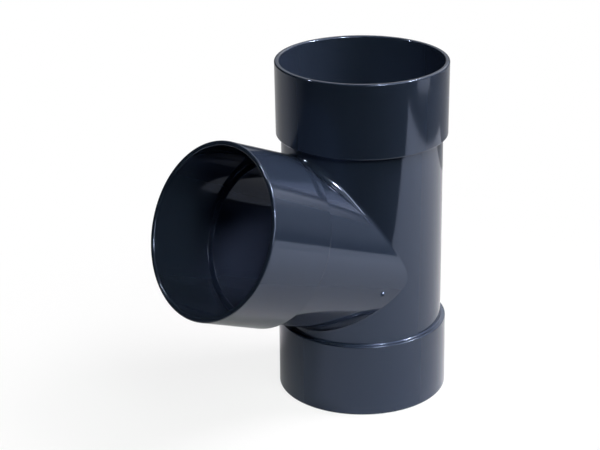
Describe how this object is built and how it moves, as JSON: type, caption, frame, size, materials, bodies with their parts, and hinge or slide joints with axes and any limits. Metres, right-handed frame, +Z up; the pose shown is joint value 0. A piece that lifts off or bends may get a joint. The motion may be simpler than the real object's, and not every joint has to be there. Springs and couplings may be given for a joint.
{
  "type": "pipe tee",
  "caption": "Equal pipe tee: a straight run and a slanted side branch, each ending in a plain socket with an inner stop, for solvent-welded plastic waste pipe.",
  "frame": {"origin": "centre of the bottom socket's mouth, on the run's axis and in the plane the fitting stands on", "axes": "+Z up along the run to the top socket; the branch leaves towards -Y and rises at 22.5 degrees; X is across, and the fitting is the same on both sides of the YZ plane"},
  "size_m": [0.1064, 0.1924, 0.214],
  "materials": {
    "pvc": "moulded unplasticised PVC, dark slate grey, polished tool finish"
  },
  "bodies": {
    "root": {"tee_body": "pvc"}
  },
  "joints": []
}
